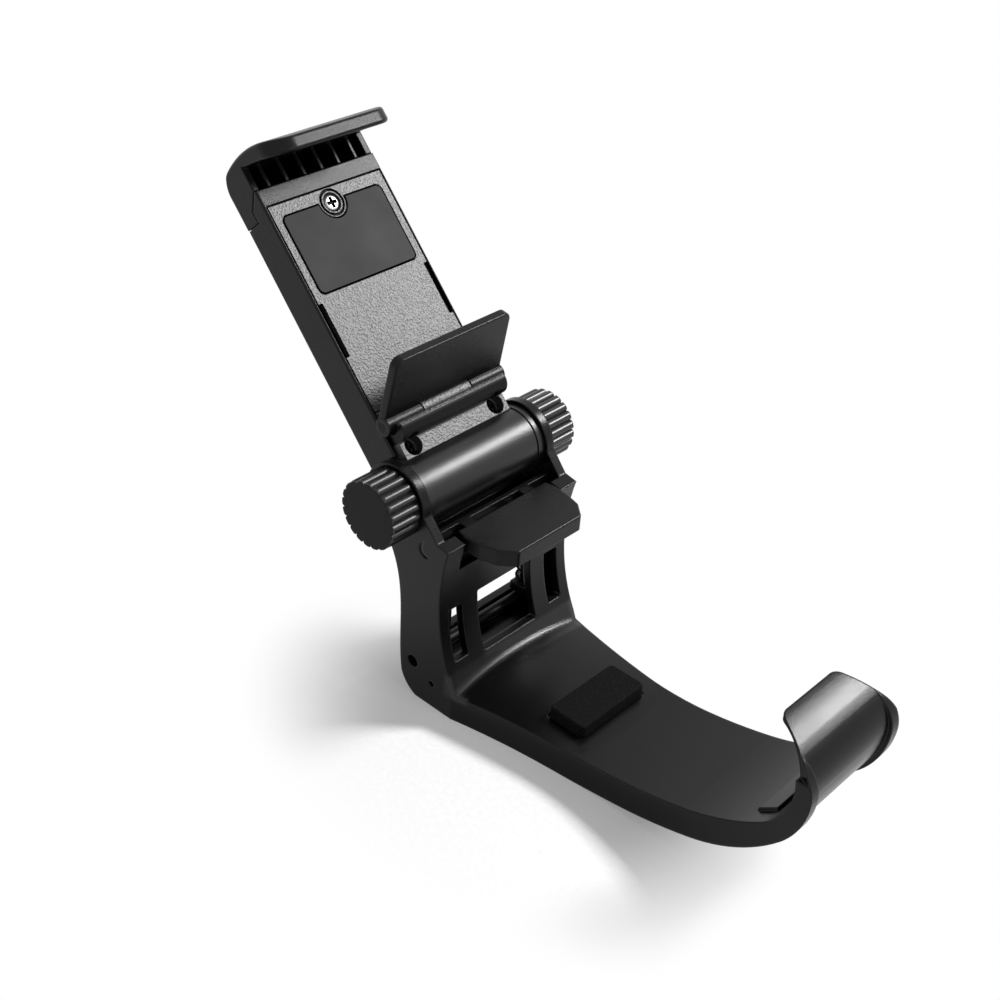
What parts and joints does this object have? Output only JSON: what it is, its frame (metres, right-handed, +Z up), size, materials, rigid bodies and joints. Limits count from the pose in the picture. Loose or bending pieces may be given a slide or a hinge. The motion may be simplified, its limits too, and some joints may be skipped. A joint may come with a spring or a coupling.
{
  "type": "controller phone clip",
  "caption": "Phone holder clip for a game controller: curved base with hook and sprung tab, tilting holder with knobs, fold-out shelf and sprung jaw.",
  "frame": {"origin": "Centre of the footprint, on the surface that the clip stands on. The pivot axis runs along Y.", "axes": "+Z is up with the saddle level. +X runs from the upright to the hook. +Y runs along the pivot, to the right knob."},
  "size_m": [0.1698, 0.0598, 0.1202],
  "materials": {
    "black_moulding": "fine matte",
    "textured_panel": "leather grain",
    "satin_knob": "satin",
    "smooth_label": "smooth satin",
    "black_rubber": "matte",
    "steel": "bright"
  },
  "bodies": {
    "base": {"base_frame": "black_moulding", "saddle_pad": "black_rubber", "stop_pin": "steel", "clamp_spring_left": "steel", "clamp_spring_right": "steel", "washer_left": "satin_knob", "washer_right": "satin_knob"},
    "clamp": {"clamp_tab": "black_moulding"},
    "holder": {"holder_shell": "black_moulding", "face_panel": "textured_panel", "label_plate": "smooth_label", "holder_screws": "steel", "hinge_cover": "textured_panel", "shelf_pin": "steel", "jaw_spring_left": "steel", "jaw_spring_right": "steel"},
    "shelf": {"phone_shelf": "black_moulding"},
    "jaw": {"top_jaw": "black_moulding", "jaw_rod_left": "steel", "jaw_rod_right": "steel", "rod_clips": "steel"},
    "left_knob": {"knob_left": "satin_knob", "pivot_nut": "steel"},
    "right_knob": {"knob_right": "satin_knob", "pivot_bolt": "steel"}
  },
  "joints": [
    {"name": "clamp_lift", "type": "slide", "parent": "base", "child": "clamp", "axis": [0, 0, 1], "range_m": [0, 0.009], "stiffness_N_per_m": 500, "springref_m": -0.006, "deforming": ["clamp_spring_left", "clamp_spring_right"]},
    {"name": "holder_tilt", "type": "hinge", "parent": "base", "child": "holder", "pos_m": [-0.02503, 0, 0.0512], "axis": [0, 1, 0], "range_deg": [-45, 43]},
    {"name": "shelf_fold", "type": "hinge", "parent": "holder", "child": "shelf", "pos_m": [-0.03234, 0, 0.0658], "axis": [0, 1, 0], "range_deg": [-54, 36]},
    {"name": "jaw_slide", "type": "slide", "parent": "holder", "child": "jaw", "axis": [-0.6909, 0, 0.723], "range_m": [0, 0.025], "stiffness_N_per_m": 150, "springref_m": -0.015, "deforming": ["jaw_spring_left", "jaw_spring_right"]},
    {"name": "left_knob_turn", "type": "hinge", "parent": "base", "child": "left_knob", "pos_m": [-0.02503, 0, 0.0512], "axis": [0, -1, 0], "range_deg": [0, 540]},
    {"name": "right_knob_turn", "type": "hinge", "parent": "base", "child": "right_knob", "pos_m": [-0.02503, 0, 0.0512], "axis": [0, 1, 0], "range_deg": [0, 540]}
  ]
}
